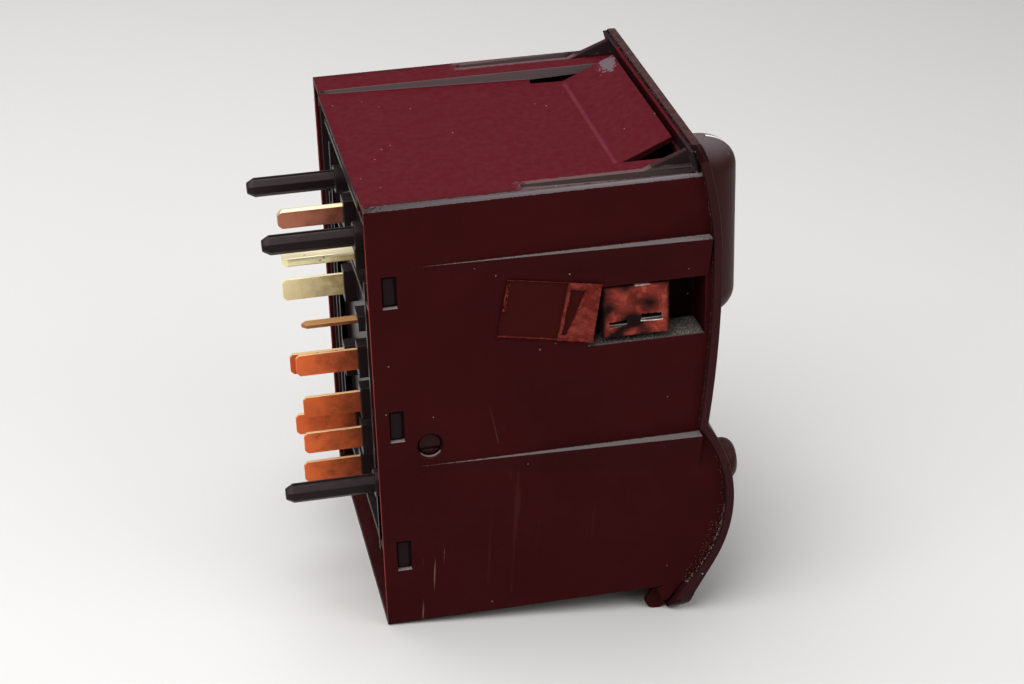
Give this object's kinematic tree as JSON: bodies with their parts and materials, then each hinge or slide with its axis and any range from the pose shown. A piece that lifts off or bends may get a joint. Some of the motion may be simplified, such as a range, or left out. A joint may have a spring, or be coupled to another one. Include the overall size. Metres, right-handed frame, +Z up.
{
  "type": "car light switch",
  "caption": "Car dashboard light switch with a rotary knob, two thumbwheels and two fog lamp buttons in a box housing with rear blade terminals and guide pins.",
  "frame": {"origin": "in the plane of the housing's rear rim, at the middle of its underside; the datum of the panel_pocket mount", "axes": "+X from the terminals towards the driver, +Y across the switch to the driver's right, +Z up in the dashboard"},
  "size_m": [0.1016, 0.0776, 0.1047],
  "materials": {
    "housing_plastic": "fine grained black moulding, satin where handled",
    "inner_plastic": "plain black moulding",
    "knob_plastic": "soft satin black",
    "terminal_brass": "copper-coloured blades, tarnished towards the roots",
    "tinned_brass": "pale brass, lightly tarnished",
    "board": "green circuit board",
    "steel": "plain spring steel",
    "lamp": "small lamp bodies",
    "window": "milky light windows",
    "film": "wrinkled adhesive film, torn over the clip",
    "pointer_white": "white inlay"
  },
  "bodies": {
    "switch_body": {"battery_blade": "terminal_brass", "chassis": "inner_plastic", "chassis_screws": "steel", "clip_film": "film", "contact_board": "board", "detent_spring": "steel", "dimmer_blade": "terminal_brass", "dimmer_potentiometer": "inner_plastic", "far_clip": "steel", "front_bezel": "housing_plastic", "front_fog_blade": "terminal_brass", "front_fog_microswitch": "inner_plastic", "front_fog_spring": "steel", "ground_blade": "terminal_brass", "headlamp_blade": "tinned_brass", "housing": "housing_plastic", "ignition_blade": "tinned_brass", "lamp_board": "board", "left_sidelamp_blade": "terminal_brass", "leveller_potentiometer": "inner_plastic", "near_clip": "steel", "rear_fog_blade": "terminal_brass", "rear_fog_microswitch": "inner_plastic", "rear_fog_spring": "steel", "right_sidelamp_blade": "terminal_brass", "signal_blade": "terminal_brass", "symbol_windows": "window", "terminal_carrier": "housing_plastic", "wall_film": "film", "wheel_axle": "steel", "window_lamps": "lamp"},
    "knob_body": {"knob": "knob_plastic", "pointer_inlay": "pointer_white", "knob_shaft": "inner_plastic", "contact_wiper": "terminal_brass"},
    "dimmer_wheel_body": {"dimmer_wheel": "knob_plastic"},
    "leveller_wheel_body": {"leveller_wheel": "knob_plastic"},
    "rear_fog_button_body": {"rear_fog_button": "knob_plastic"},
    "front_fog_button_body": {"front_fog_button": "knob_plastic"}
  },
  "joints": [
    {"name": "knob_turn", "type": "hinge", "parent": "switch_body", "child": "knob_body", "pos_m": [0.07, 0, 0.0656], "axis": [-1, 0, 0], "range_deg": [0, 60]},
    {"name": "dimmer_turn", "type": "hinge", "parent": "switch_body", "child": "dimmer_wheel_body", "pos_m": [0.0597, -0.011, 0.0304], "axis": [0, 1, 0], "range_deg": [-60, 60]},
    {"name": "leveller_turn", "type": "hinge", "parent": "switch_body", "child": "leveller_wheel_body", "pos_m": [0.0597, 0.011, 0.0304], "axis": [0, 1, 0], "range_deg": [-60, 60]},
    {"name": "rear_fog_press", "type": "slide", "parent": "switch_body", "child": "rear_fog_button_body", "axis": [-1, 0, 0], "range_m": [0, 0.0018], "stiffness_N_per_m": 500, "springref_m": -0.004, "deforming": ["rear_fog_spring"]},
    {"name": "front_fog_press", "type": "slide", "parent": "switch_body", "child": "front_fog_button_body", "axis": [-1, 0, 0], "range_m": [0, 0.0018], "stiffness_N_per_m": 500, "springref_m": -0.004, "deforming": ["front_fog_spring"]}
  ]
}
